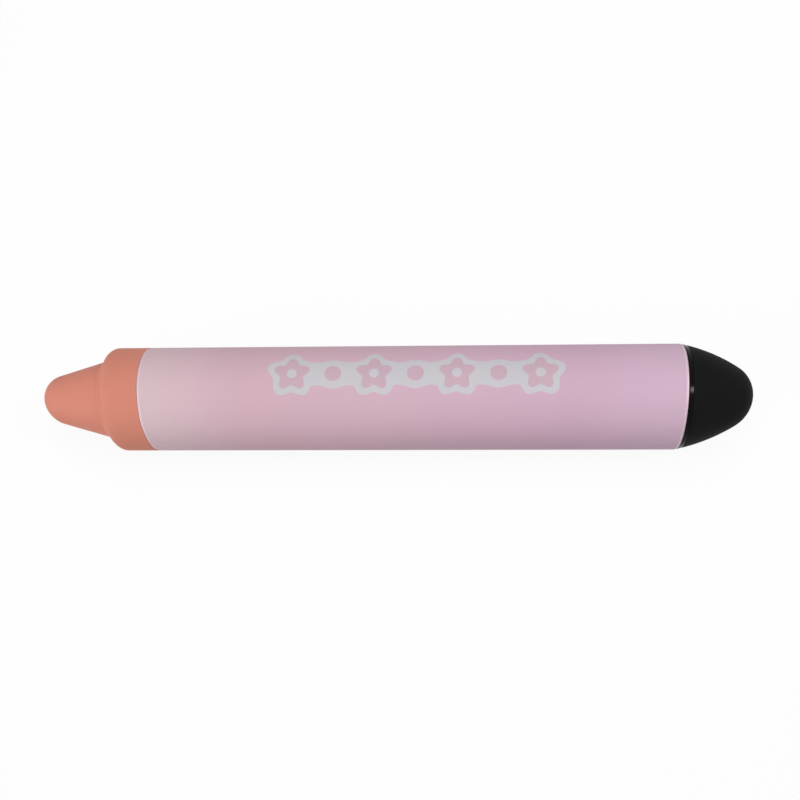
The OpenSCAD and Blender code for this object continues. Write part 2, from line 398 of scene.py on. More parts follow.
def surface_group(name, pattern_of):
    """A pattern that varies the roughness and stands out of the surface."""
    group, given, result = new_group(
        name, "ShaderNodeTree", {"Size": 0.1 * MM, "Height": 0.002 * MM, "Roughness": 0.5, "Spread": 0.1},
        {"Roughness": "Float", "Pattern": "Float", "Normal": "Vector"})
    pattern = pattern_of(object_place(group), given["Size"])
    uneven = (pattern - 0.5) * given["Spread"]
    plug(calc("ADD", given["Roughness"], uneven, clamp=True), result["Roughness"])
    plug(pattern, result["Pattern"])
    relief = {"Strength": 1.0, "Distance": given["Height"], "Height": pattern}
    plug(wire(group, "ShaderNodeBump", relief), result["Normal"])
    return group


@tree_named("Fine grain")
def grain_group(name):
    """Fine moulded or printed grain."""
    return surface_group(name, noise)


@tree_named("Turning lines")
def turning_group(name):
    """Fine lines round the axis, as a lathe tool leaves them."""
    def lines(place, width):
        along, across, up = axes(place)
        return noise(combined(along, distance(across, up)), width, detail=2.0)

    return surface_group(name, lines)


@tree_named("Edge wear")
def wear_group(name):
    """Patchy rubbing along an edge that runs round the pen."""
    group, given, result = new_group(
        name, "ShaderNodeTree", {"Edge": 0.0, "Reach": 0.5 * MM, "Patch Size": MM}, {"Mask": "Float"})
    place = object_place(group)
    gap = abs(axes(place)[0] - given["Edge"])
    near = calc("SUBTRACT", 1.0, gap / given["Reach"], clamp=True)
    plug(near * ramp(noise(place, given["Patch Size"]), *PATCH_RANGE), result["Mask"])
    return group


@tree_named("Handling marks")
def handling_group(name):
    """Broad cloudy marks that handling leaves on a surface."""
    group, given, result = new_group(name, "ShaderNodeTree", {"Size": 6 * MM}, {"Mask": "Float"})
    cloud = noise(object_place(group), given["Size"], detail=4.0)
    plug(ramp(cloud, *CLOUD_RANGE), result["Mask"])
    return group


# Finishes

def linear(shade, light=1.0):
    """A colour picker's colour as the shader wants it, made lighter or darker, with full alpha."""
    parts = (c / 12.92 if c <= 0.04045 else ((c + 0.055) / 1.055) ** 2.4 for c in shade)
    return tuple(light * part for part in parts) + (1.0,)


def new_finish(name):
    """An empty material with its surface shader."""
    material = bpy.data.materials.new(name)
    material.use_nodes = True
    tree = material.node_tree
    return material, tree, tree.nodes["Principled BSDF"]


def by_socket(sources):
    """Inputs under the names that their sockets show."""
    return {key.replace("_", " ").title().replace("Ior", "IOR"): source for key, source in sources.items()}


def place_group(tree, group, **values):
    """Outputs of a shared effect, placed in a finish with its own values."""
    node = add_node(tree, "ShaderNodeGroup", node_tree=group)
    for name, value in by_socket(values).items():
        node.inputs[name].default_value = value
    return {socket.name: Wire(socket) for socket in node.outputs}


def feed(shader, surface, **sources):
    """Feeds the surface shader, with the roughness and normal of a placed effect."""
    inputs = {"Roughness": surface["Roughness"], "Normal": surface["Normal"], **by_socket(sources)}
    for name, source in inputs.items():
        plug(source, shader.inputs[name])


def motif_masks(place, motif, radius):
    """Masks of the printed row: its pale ground, and its blossoms and dots."""
    along, across, up = axes(place)
    row = along - motif.center
    rise = (calc("ARCTAN2", across, up) - motif.turn) * radius
    period = 2 * motif.spacing

    def nearest(offset):
        """Distance along the row to the nearest shape of one kind."""
        return calc("FLOORED_MODULO", row + (offset + period / 2), period) - period / 2

    def inside(gap, limit):
        """1 where a distance is under a limit, with a soft edge."""
        return ramp(gap, limit - motif.softness, limit + motif.softness, 1.0, 0.0)

    blossom_side = nearest(motif.spacing)
    blossom_reach = distance(blossom_side, rise)
    lobes = calc("COSINE", calc("ARCTAN2", blossom_side, rise) * motif.petals)
    edge = calc("MULTIPLY_ADD", lobes, motif.blossom_radius * motif.petal_depth, motif.blossom_radius)
    dot = distance(nearest(0.0), rise) - motif.dot_radius
    shape = calc("MINIMUM", blossom_reach - edge, dot)
    band = abs(rise) - (motif.band - motif.halo)
    ground = calc("SMOOTH_MIN", shape, band, motif.halo)

    next_dot = 4 * motif.spacing - motif.dot_radius - motif.halo
    row_end = inside(abs(row), next_dot - 2 * motif.softness)
    band_end = inside(abs(row), 3 * motif.spacing)
    pale = calc("MAXIMUM", inside(ground, motif.halo) * band_end, inside(shape, motif.halo))
    deep = inside(shape, 0.0) * (1.0 - inside(blossom_reach, motif.eye_radius))
    return pale * row_end, deep * row_end


def film_finish():
    """Satin printed film: a pink that cools towards the tip and thins out at its ends, and a print."""
    shades, motif = settings("colours"), settings("print")
    material, tree, shader = new_finish("Printed pink film")
    place = object_place(tree)
    along = axes(place)[0]
    pink = mix(ramp(along, WRAP_BACK, WRAP_FRONT, smooth=False), linear(shades.wrap_nose_end),
               linear(shades.wrap_tip_end))
    pale, deep = motif_masks(place, motif, WRAP_RADIUS)
    printed = mix(deep, mix(pale, pink, linear(shades.print_pale)), linear(shades.print_deep))
    grain = place_group(tree, grain_group(), size=0.16 * MM, height=0.0012 * MM, roughness=0.58, spread=0.1)
    marks = place_group(tree, handling_group(), size=9 * MM)
    speckled = calc("MULTIPLY_ADD", grain["Pattern"], FILM_SPECKLE, FILM_DARKEST)
    tint = speckled * ramp(marks["Mask"], 0.0, 1.0, 1.0, FILM_MARKED)
    base = wire(tree, "ShaderNodeVectorMath", {0: printed, "Scale": tint}, operation="SCALE")
    bare = 0.0
    for edge, fade in ((WRAP_BACK, motif.nose_fade), (WRAP_FRONT, motif.tip_fade)):
        gap = abs(along - edge)
        margin = ramp(gap, (1 - MARGIN_BLUR) * motif.margin, (1 + MARGIN_BLUR) * motif.margin, 1.0, 0.0)
        thinned = ramp(gap, 0.0, motif.fade, fade, 0.0)
        bare = calc("MAXIMUM", calc("MAXIMUM", margin, thinned), bare)
    feed(shader, grain, base_color=mix(bare, base, linear(shades.wrap_margin)), specular_ior_level=0.09)
    return material


def coral_finish():
    """Satin moulded plastic with rubbed edges."""
    shades, sizes = settings("colours"), settings("sizes")
    material, tree, shader = new_finish("Satin coral plastic")
    plain, scuffed = linear(shades.coral), linear(shades.coral_scuff)
    grain = place_group(tree, grain_group(), size=0.2 * MM, height=0.003 * MM, roughness=0.46, spread=0.12)
    marks = place_group(tree, handling_group(), size=7 * MM)
    rim = place_group(tree, wear_group(), edge=TUBE_BACK - sizes.neck_distance + RIM_FROM_NECK,
                      reach=1.2 * MM, patch_size=1.2 * MM)
    collar = place_group(tree, wear_group(), edge=TUBE_BACK, reach=0.4 * MM, patch_size=0.9 * MM)
    worn = calc("MAXIMUM", rim["Mask"], collar["Mask"]) * CORAL_RUBBED
    clouded = mix(marks["Mask"] * CORAL_CLOUDED, plain, scuffed)
    feed(shader, grain, base_color=mix(worn, clouded, scuffed), specular_ior_level=0.03)
    return material


def marked(tree, shade, size, strength, light):
    """A colour with cloudy handling marks that are lighter or darker than it."""
    marks = place_group(tree, handling_group(), size=size)
    return mix(marks["Mask"] * strength, linear(shade), linear(shade, light))


def metal_finish(name, shade, roughness, line_height):
    """Turned metal with tool lines round the axis and faint handling marks."""
    material, tree, shader = new_finish(name)
    lines = place_group(tree, turning_group(), size=0.07 * MM, height=line_height, roughness=roughness,
                        spread=0.14)
    base = marked(tree, shade, size=4 * MM, strength=0.35, light=0.82)
    feed(shader, lines, base_color=base, metallic=1.0)
    return material


def gloss_finish():
    """Gloss black plastic, a little rubbed at its outer edge."""
    black = settings("colours").ring_black
    material, tree, shader = new_finish("Gloss black plastic")
    grain = place_group(tree, grain_group(), size=0.6 * MM, height=0.0015 * MM, roughness=0.17, spread=0.04)
    worn = place_group(tree, wear_group(), edge=RING_FRONT, reach=0.3 * MM, patch_size=0.8 * MM)
    marks = place_group(tree, handling_group(), size=3 * MM)
    base = mix(worn["Mask"] * marks["Mask"], linear(black), linear(black, light=2.2))
    feed(shader, grain, base_color=base, specular_ior_level=0.07)
    return material


def rubber_finish(name, shade, grain_height, roughness, specular, sheen):
    """Matte rubber with a fine grain and a soft sheen at its outline."""
    material, tree, shader = new_finish(name)
    grain = place_group(tree, grain_group(), size=0.14 * MM, height=grain_height, roughness=roughness,
                        spread=0.1)
    base = marked(tree, shade, size=5 * MM, strength=0.3, light=1.5)
    feed(shader, grain, base_color=base, specular_ior_level=specular, sheen_weight=sheen,
         sheen_roughness=0.4)
    return material


# Shapes

def arc(center, radius, start, end, steps=ARC_STEPS):
    """Outline points of an arc. Angles turn from +X towards the outside."""
    angles = [start + (end - start) * i / steps for i in range(steps + 1)]
    return [(center[0] + radius * math.cos(a), center[1] + radius * math.sin(a)) for a in angles]


def spaced(start, end, count):
    """Outline points along a straight stretch, evenly spaced."""
    return [tuple(a + (b - a) * i / count for a, b in zip(start, end)) for i in range(count + 1)]


def rows(back, front, radius, step):
    """Outline points along a straight wall, close enough to be shaped."""
    return spaced((back, radius), (front, radius), max(1, math.ceil(abs(front - back) / step)))


def rounded(corner, before, after, radius):
    """Outline points that round a corner between two straight walls."""
    corner, before, after = (complex(*point) for point in (corner, before, after))
    one, two = ((far - corner) / abs(far - corner) for far in (before, after))
    half = abs(cmath.phase(two / one)) / 2
    inward = (one + two) / abs(one + two) * radius / math.sin(half)
    start, end = (way * radius / math.tan(half) - inward for way in (one, two))
    center = corner + inward
    first = cmath.phase(start)
    return arc((center.real, center.imag), radius, first, first + cmath.phase(end / start), EDGE_STEPS)


def turned_mesh(outline, closed, columns=COLUMNS):
    """Mesh of an outline of (position, radius) points turned round the X axis, with crisp corners kept."""
    points = [p for i, p in enumerate(outline) if i == 0 or math.dist(p, outline[i - 1]) > SAME_POINT]
    if closed and math.dist(points[0], points[-1]) < SAME_POINT:
        points.pop()
    shape = bmesh.new()
    turns = [FULL_TURN * j / columns for j in range(columns)]
    rings = []
    for position, radius in points:
        angles = turns if radius > ON_AXIS else [0.0]
        places = [(position, radius * math.sin(a), radius * math.cos(a)) for a in angles]
        rings.append([shape.verts.new(place) for place in places])
    count = len(rings)
    for i in range(count if closed else count - 1):
        one, two = rings[i], rings[(i + 1) % count]
        for j in range(columns):
            k = (j + 1) % columns
            corners = [one[j % len(one)], one[k % len(one)], two[k % len(two)], two[j % len(two)]]
            shape.faces.new(list(dict.fromkeys(corners))).smooth = True
    bmesh.ops.recalc_face_normals(shape, faces=shape.faces)
    for i, ring in enumerate(rings):
        if len(ring) == 1 or not (closed or 0 < i < count - 1):
            continue
        before, here, after = (complex(*points[(i + k) % count]) for k in (-1, 0, 1))
        if abs(cmath.phase((after - here) / (here - before))) > SHARP_CORNER:
            for vert in ring:
                for line in vert.link_edges:
                    line.smooth = line.smooth and line.other_vert(vert) not in ring
    mesh = bpy.data.meshes.new("turned")
    shape.to_mesh(mesh)
    shape.free()
    return mesh


def add_object(name, data):
    """A new object in the scene."""
    thing = bpy.data.objects.new(name, data)
    bpy.context.scene.collection.objects.link(thing)
    return thing


def set_piece(name, mesh, material, body, node):
    """Puts a finished piece on its body, in place of its CAD node."""
    mesh.name = name
    if not mesh.materials:
        mesh.materials.append(material)
    piece = add_object(name, mesh)
    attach(piece, body)
    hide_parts(node)


def shaped_by(tree, mesh, values):
    """Plain mesh that a Geometry Nodes tree makes of a mesh."""
    holder = add_object("shaping", mesh)
    modifier = holder.modifiers.new(tree.name, "NODES")
    modifier.node_group = tree
    sockets = {s.name: s.identifier for s in tree.interface.items_tree
               if s.item_type == "SOCKET" and s.in_out == "INPUT"}
    for name, value in values.items():
        modifier[sockets[name]] = value
    bpy.context.view_layer.update()
    evaluated = holder.evaluated_get(bpy.context.evaluated_depsgraph_get())
    result = bpy.data.meshes.new_from_object(evaluated)
    holder.modifiers.remove(modifier)
    bpy.data.objects.remove(holder)
    bpy.data.meshes.remove(mesh)
    if not result.polygons:
        raise RuntimeError(f"{tree.name} made no faces")
    return result


def shaping_tree(name, inputs):
    """A Geometry Nodes tree with its named inputs, and what finishes it."""
    tree, given, result = new_group(
        name, "GeometryNodeTree", {"Geometry": "Geometry", "Material": "Material", **inputs},
        {"Geometry": "Geometry"})

    def finish(geometry):
        """Ends the tree in plain, painted geometry."""
        real = wire(tree, "GeometryNodeRealizeInstances", {"Geometry": geometry})
        paint = {"Geometry": real, "Material": given["Material"]}
        plug(wire(tree, "GeometryNodeSetMaterial", paint), result["Geometry"])

    return tree, given, finish


def around_axis(tree):
    """Position along the axis, the two across it, the distance from it and the angle round it."""
    along, across, up = axes(wire(tree, "GeometryNodeInputPosition"))
    return along, across, up, distance(across, up), calc("ARCTAN2", up, across)


def set_reach(geometry, selection, place, reach):
    """Moves the selected points straight out or in, to a new distance from the axis."""
    along, across, up, old, _ = place
    stretch = reach / calc("MAXIMUM", old, ON_AXIS)
    moved = combined(along, across * stretch, up * stretch)
    return wire(geometry.tree, "GeometryNodeSetPosition", {
        "Geometry": geometry, "Selection": selection, "Position": moved})


def both(one, two):
    """True where two conditions hold."""
    return wire(one.tree, "FunctionNodeBooleanMath", {0: one, 1: two}, operation="AND")


def between(value, low, high):
    """True where a value lies between two limits."""
    above = wire(value.tree, "FunctionNodeCompare", {"A": value, "B": low}, operation="GREATER_EQUAL")
    below = wire(value.tree, "FunctionNodeCompare", {"A": value, "B": high}, operation="LESS_EQUAL")
    return both(above, below)


@tree_named("Screw thread")
def thread_tree(name):
    """Cuts a right-hand screw thread into a turned wall, outside it or inside its bore."""
    tree, given, finish = shaping_tree(name, {
        "Pitch": MM, "Minor Radius": 3 * MM, "Major Radius": 4 * MM, "Start": 0.0, "End": 10 * MM,
        "Run-out": MM, "Side": 1.0})
    place = around_axis(tree)
    along, _, _, reach, angle = place
    turns = along / given["Pitch"] - angle / FULL_TURN
    wave = abs(calc("MULTIPLY_ADD", calc("FRACT", turns), 2.0, -1.0))
    flank = ramp(wave, *THREAD_FLANK, smooth=False)
    fade = ramp(along, given["End"] - given["Run-out"], given["End"])
    depth = given["Major Radius"] - given["Minor Radius"]
    wall = calc("MULTIPLY_ADD", calc("MAXIMUM", flank, fade), depth, given["Minor Radius"])
    # Side is 1 for a thread on the outside, where the groove is cut inwards, and -1 inside a bore.
    cut = calc("MINIMUM", reach * given["Side"], wall * given["Side"])
    inside = between(along, given["Start"], given["End"])
    finish(set_reach(given["Geometry"], inside, place, cut * given["Side"]))
    return tree


@tree_named("Crush ribs")
def rib_tree(name):
    """Raises straight ribs, evenly spaced, on a turned spigot."""
    tree, given, finish = shaping_tree(name, {
        "Count": 6, "Width": MM, "Height": 0.3 * MM, "Spigot Radius": 6 * MM, "Start": 0.0, "End": 10 * MM,
        "Lead-in": MM})
    place = around_axis(tree)
    along, _, _, reach, angle = place
    sector = FULL_TURN / given["Count"]
    half_sector = sector / 2.0
    from_rib = abs(calc("FLOORED_MODULO", angle + half_sector, sector) - half_sector)
    on_rib = calc("LESS_THAN", from_rib * given["Spigot Radius"], given["Width"] / 2.0)
    lead = ramp(along, given["End"] - given["Lead-in"], given["End"], 1.0, 0.0, smooth=False)
    rise = on_rib * lead * given["Height"]
    on_wall = between(reach, given["Spigot Radius"] - ON_WALL, given["Spigot Radius"] + ON_WALL)
    in_length = between(along, given["Start"], given["End"])
    finish(set_reach(given["Geometry"], both(on_wall, in_length), place, reach + rise))
    return tree


@tree_named("Rolled film")
def film_tree(name):
    """Rolls a flat sheet round the pen and gives it a thickness."""
    tree, given, finish = shaping_tree(name, {
        "Length": 80 * MM, "Start": 0.0, "Radius": 8 * MM, "Thickness": 0.2 * MM, "Seam": 0.3 * MM,
        "Rows": FILM_ROWS, "Columns": COLUMNS})
    girth = given["Radius"] * FULL_TURN - given["Seam"]
    sheet = wire(tree, "GeometryNodeMeshGrid", {
        "Size X": given["Length"], "Size Y": girth, "Vertices X": given["Rows"],
        "Vertices Y": given["Columns"]}, "Mesh")
    flat_along, flat_across, _ = axes(wire(tree, "GeometryNodeInputPosition"))
    angle = flat_across / given["Radius"]
    along = flat_along + calc("MULTIPLY_ADD", given["Length"], 0.5, given["Start"])
    sine, cosine = calc("SINE", angle), calc("COSINE", angle)

    def rolled(radius):
        """The sheet rolled to a radius."""
        place = combined(along, sine * radius, cosine * radius)
        return wire(tree, "GeometryNodeSetPosition", {"Geometry": sheet, "Position": place})

    outer = rolled(given["Radius"])
    inner = wire(tree, "GeometryNodeFlipFaces", {"Mesh": rolled(given["Radius"] - given["Thickness"])})
    skins = add_node(tree, "GeometryNodeJoinGeometry")
    for skin in (inner, outer):
        plug(skin, skins.inputs[0])
    finish(wire(tree, "GeometryNodeSetShadeSmooth", {"Geometry": skins.outputs[0]}))
    return tree


def close_film(mesh):
    """Joins the film's two skins along their edges, with crisp corners."""
    shape = bmesh.new()
    shape.from_mesh(mesh)
    borders = [e for e in shape.edges if e.is_boundary]
    made = bmesh.ops.bridge_loops(shape, edges=borders)["faces"]
    for face in made:
        face.smooth = False
    bmesh.ops.recalc_face_normals(shape, faces=shape.faces)
    for line in borders:
        line.smooth = False
    shape.to_mesh(mesh)
    shape.free()
    return mesh


def dome_side(sizes):
    """Centre of the dome's side curve, which starts at the tube's rim and touches the round end."""
    end = DOME_END - sizes.dome_end_radius
    reach = math.hypot(end - TUBE_FRONT, TUBE_RADIUS)
    way = ((end - TUBE_FRONT) / reach, -TUBE_RADIUS / reach)
    gap = sizes.dome_side_radius - sizes.dome_end_radius
    near = (sizes.dome_side_radius ** 2 - gap ** 2 + reach ** 2) / (2 * reach)
    off = math.sqrt(sizes.dome_side_radius ** 2 - near ** 2)
    return (TUBE_FRONT + near * way[0] + off * way[1], TUBE_RADIUS + near * way[1] - off * way[0])


def side_angle(sizes, position, inset=0.0):
    """Angle on the dome's side curve at a position along the pen."""
    return math.acos((position - dome_side(sizes)[0]) / (sizes.dome_side_radius - inset))


# Operators

class STYLUS_OT_wrap(Operator):
    """Rolls the printed film round the tube"""

    bl_idname = "stylus.wrap"
    bl_label = "Printed Wrap"

    def execute(self, context):
        sizes = settings("sizes")
        finish = film_finish()
        mesh = shaped_by(film_tree(), bpy.data.meshes.new("sheet"), {
            "Length": WRAP_FRONT - WRAP_BACK, "Start": WRAP_BACK, "Radius": WRAP_RADIUS,
            "Thickness": sizes.film_thickness, "Seam": sizes.film_seam, "Columns": COLUMNS + 1,
            "Material": finish})
        set_piece("printed_wrap", close_film(mesh), finish, "barrel", "wrap_film")
        return {"FINISHED"}


class STYLUS_OT_tube(Operator):
    """Makes the metal tube with its satin bevelled rims"""

    bl_idname = "stylus.tube"
    bl_label = "Metal Tube"

    def execute(self, context):
        sizes, shades = settings("sizes"), settings("colours")
        recess = WRAP_RADIUS - sizes.film_thickness - sizes.film_glue
        back_rim, front_rim = WRAP_BACK - sizes.film_glue, WRAP_FRONT + sizes.film_glue
        bore = recess - sizes.tube_wall
        back_inner, front_inner = (back_rim, TUBE_RADIUS), (front_rim, TUBE_RADIUS)
        outline = [
            (TUBE_BACK, bore),
            *rounded((TUBE_BACK, TUBE_RADIUS), (TUBE_BACK, 0.0), back_inner, sizes.tube_bevel),
            back_inner, (back_rim, recess), (front_rim, recess), front_inner,
            *rounded((TUBE_FRONT, TUBE_RADIUS), front_inner, (TUBE_FRONT, 0.0), sizes.tube_bevel),
            (TUBE_FRONT, bore)]
        finish = metal_finish("Satin rose aluminium", shades.tube_metal, roughness=0.6,
                              line_height=0.0008 * MM)
        set_piece("metal_tube", turned_mesh(outline, True), finish, "barrel", "barrel_tube")
        return {"FINISHED"}


class STYLUS_OT_nose(Operator):
    """Makes the moulded crayon nose with its ribbed spigot"""

    bl_idname = "stylus.nose"
    bl_label = "Crayon Nose"

    def execute(self, context):
        sizes = settings("sizes")
        finish = coral_finish()
        mesh = shaped_by(rib_tree(), turned_mesh(self.outline(sizes), False), {
            "Count": sizes.rib_count, "Width": sizes.rib_width, "Height": sizes.rib_height,
            "Spigot Radius": sizes.spigot_radius, "Start": TUBE_BACK + sizes.rib_height,
            "End": SPIGOT_END - sizes.spigot_lead_in, "Lead-in": sizes.spigot_lead_in, "Material": finish})
        mesh.set_sharp_from_angle(angle=SHARP_CORNER)
        set_piece("crayon_point", mesh, finish, "barrel", "crayon_nose")
        return {"FINISHED"}

    @staticmethod
    def outline(sizes):
        """Outside from the point to the spigot's end, then inside back to the point."""
        point, slope = sizes.point_radius, sizes.shoulder_slope
        center = NOSE_POINT + point
        neck = (TUBE_BACK - sizes.neck_distance, sizes.neck_radius)
        lean = (math.acos(point / math.hypot(neck[0] - center, neck[1]))
                - math.atan2(neck[0] - center, neck[1]))
        rim_radius = NOSE_RADIUS - sizes.shoulder_rounding
        rim_start_radius = rim_radius + sizes.shoulder_rounding * math.cos(slope)
        rim_start = neck[0] + (rim_start_radius - neck[1]) / math.tan(slope)
        rim = (rim_start + sizes.shoulder_rounding * math.sin(slope), rim_radius)
        cone_start = (center - point * math.sin(lean), point * math.cos(lean))
        spigot = sizes.spigot_radius
        bore = spigot - sizes.nose_wall
        inner = point - sizes.nose_wall
        bore_end = center + (bore - inner / math.cos(lean)) / math.tan(lean)
        return [
            (NOSE_POINT, 0.0),
            *arc((center, 0.0), point, math.pi, QUARTER_TURN + lean)[1:],
            *rounded(neck, cone_start, (rim_start, rim_start_radius), sizes.neck_fillet),
            *arc(rim, sizes.shoulder_rounding, QUARTER_TURN + slope, QUARTER_TURN),
            *rounded((TUBE_BACK, NOSE_RADIUS), (rim[0], NOSE_RADIUS), (TUBE_BACK, 0.0),
                     sizes.collar_rounding),
            (TUBE_BACK, spigot),
            *rows(TUBE_BACK + sizes.rib_height, SPIGOT_END - sizes.spigot_lead_in, spigot, SPIGOT_ROW),
            (SPIGOT_END, spigot - sizes.rib_height), (SPIGOT_END, bore), (bore_end, bore),
            *arc((center, 0.0), inner, QUARTER_TURN + lean, math.pi)[:-1],
            (center - inner, 0.0)]


class STYLUS_OT_dome(Operator):
    """Makes the hollow rubber dome with its inward lip"""

    bl_idname = "stylus.dome"
    bl_label = "Rubber Dome"

    def execute(self, context):
        finish = rubber_finish("Matte black silicone", settings("colours").dome_black,
                               grain_height=0.003 * MM, roughness=0.7, specular=0.045, sheen=0.015)
        mesh = turned_mesh(self.outline(settings("sizes")), False)
        set_piece("rubber_dome", mesh, finish, "tip", "tip_dome")
        return {"FINISHED"}

    @staticmethod
    def outline(sizes):
        """Outside from the end to the base, the lip, then inside back to the end."""
        side, wall, bevel = dome_side(sizes), sizes.dome_wall, sizes.dome_bevel
        end = (DOME_END - sizes.dome_end_radius, 0.0)
        join = math.atan2(end[1] - side[1], end[0] - side[0])
        lip_front = DOME_BACK + sizes.lip_thickness
        base_angle = side_angle(sizes, DOME_BACK, bevel)
        base_radius = side[1] + (sizes.dome_side_radius - bevel) * math.sin(base_angle)
        bore = sizes.carrier_neck + LIP_FIT
        return [
            (DOME_END, 0.0),
            *arc(end, sizes.dome_end_radius, 0.0, join)[1:],
            *arc(side, sizes.dome_side_radius, join, side_angle(sizes, DOME_BACK + bevel))[1:],
            (DOME_BACK, base_radius), (DOME_BACK, bore), (lip_front, bore),
            *arc(side, sizes.dome_side_radius - wall, side_angle(sizes, lip_front, wall), join),
            *arc(end, sizes.dome_end_radius - wall, join, 0.0)[1:-1],
            (DOME_END - wall, 0.0)]


class STYLUS_OT_ring(Operator):
    """Makes the gloss ring between the tube and the dome"""

    bl_idname = "stylus.ring"
    bl_label = "Gloss Ring"

    def execute(self, context):
        sizes = settings("sizes")
        back, front = (side_angle(sizes, place) for place in (TUBE_FRONT + sizes.ring_bevel, RING_FRONT))
        curve = arc(dome_side(sizes), sizes.dome_side_radius, back, front, EDGE_STEPS)
        bore, step = sizes.ring_bore, sizes.ring_step
        outline = [
            (RING_BACK, bore), (RING_BACK, step), (TUBE_FRONT, step),
            *rounded((TUBE_FRONT, curve[0][1]), (TUBE_FRONT, 0.0), curve[0], sizes.ring_bevel / 2),
            *curve,
            (RING_FRONT, bore)]
        mesh = turned_mesh(outline, True)
        set_piece("gloss_ring", mesh, gloss_finish(), "tip", "tip_ring")
        return {"FINISHED"}


class STYLUS_OT_fixing(Operator):
    """Makes the carrier screw, the threaded socket and the O-ring"""

    bl_idname = "stylus.fixing"
    bl_label = "Tip Fixing"

    def execute(self, context):
        sizes, shades = settings("sizes"), settings("colours")
        self.make_carrier(sizes, shades.brass)
        self.make_socket(sizes, shades.aluminium)
        self.make_seal(shades.seal_black)
        return {"FINISHED"}

    @staticmethod
    def cut_thread(mesh, sizes, gap, start, end, side, finish):
        """Cuts the thread into a turned mesh, outside it or, with a gap, inside its bore."""
        major = sizes.thread_radius
        return shaped_by(thread_tree(), mesh, {
            "Pitch": sizes.thread_pitch, "Run-out": sizes.thread_pitch, "Start": start, "End": end,
            "Minor Radius": major - sizes.thread_depth + gap, "Major Radius": major + gap, "Side": side,
            "Material": finish})

    def make_carrier(self, sizes, shade):
        """Screw whose head holds the dome's lip and whose post backs the dome."""
        finish = metal_finish("Turned brass", shade, roughness=0.28, line_height=0.0015 * MM)
        major, bevel = sizes.thread_radius, sizes.thread_bevel
        neck, post = sizes.carrier_neck, sizes.post_radius
        row = sizes.thread_pitch / THREAD_ROWS_PER_TURN
        thread_front = RING_BACK - THREAD_RELIEF
        lip_front = DOME_BACK + sizes.lip_thickness
        head_front = lip_front + sizes.head_thickness
        side, inset = dome_side(sizes), sizes.dome_side_radius - sizes.dome_wall
        head = [(p, side[1] + math.sqrt(inset ** 2 - (p - side[0]) ** 2) - sizes.head_gap)
                for p in (lip_front, head_front)]
        outline = [
            (THREAD_END, 0.0),
            *spaced((THREAD_END, major - bevel), (THREAD_END + bevel, major), BEVEL_ROWS),
            *rows(THREAD_END + bevel, thread_front, major, row),
            (RING_FRONT, major), (RING_FRONT, neck), (lip_front, neck),
            *rounded(head[0], (lip_front, 0.0), head[1], HEAD_ROUNDING),
            *rounded(head[1], head[0], (head_front, 0.0), HEAD_ROUNDING),
            (head_front, post),
            *arc((POST_END - post, 0.0), post, QUARTER_TURN, 0.0)[:-1],
            (POST_END, 0.0)]
        mesh = turned_mesh(outline, False, THREAD_COLUMNS)
        mesh = self.cut_thread(mesh, sizes, 0.0, THREAD_END, thread_front, 1.0, finish)
        set_piece("carrier_screw", mesh, finish, "tip", "tip_carrier")

    def make_socket(self, sizes, shade):
        """Bush in the tube that takes the carrier's thread."""
        finish = metal_finish("Turned aluminium", shade, roughness=0.3, line_height=0.0012 * MM)
        bevel, gap = sizes.thread_bevel, sizes.thread_gap
        bore = sizes.thread_radius - sizes.thread_depth + gap
        mouth = sizes.thread_depth + bevel
        row = sizes.thread_pitch / THREAD_ROWS_PER_TURN
        outline = [
            (SOCKET_BACK, bore), (SOCKET_BACK, SOCKET_RADIUS - bevel),
            (SOCKET_BACK + bevel, SOCKET_RADIUS), (SOCKET_FRONT, SOCKET_RADIUS),
            *spaced((SOCKET_FRONT, bore + mouth), (SOCKET_FRONT - mouth, bore), MOUTH_ROWS),
            *rows(SOCKET_FRONT - mouth, SOCKET_BACK + row, bore, row)]
        mesh = turned_mesh(outline, True, THREAD_COLUMNS)
        thread_front = SOCKET_FRONT + sizes.thread_pitch
        mesh = self.cut_thread(mesh, sizes, gap, SOCKET_BACK, thread_front, -1.0, finish)
        set_piece("threaded_socket", mesh, finish, "barrel", "tip_socket")

    @staticmethod
    def make_seal(shade):
        """O-ring between the gloss ring and the socket."""
        finish = rubber_finish("Seal rubber", shade, grain_height=0.001 * MM, roughness=0.45, specular=0.3,
                               sheen=0.0)
        cord = (SEAL_FRONT - SEAL_BACK) / 2
        loop = arc((SEAL_BACK + cord, SEAL_RADIUS - cord), cord, 0.0, FULL_TURN)
        set_piece("seal_ring", turned_mesh(loop, True), finish, "seal", "tip_oring")


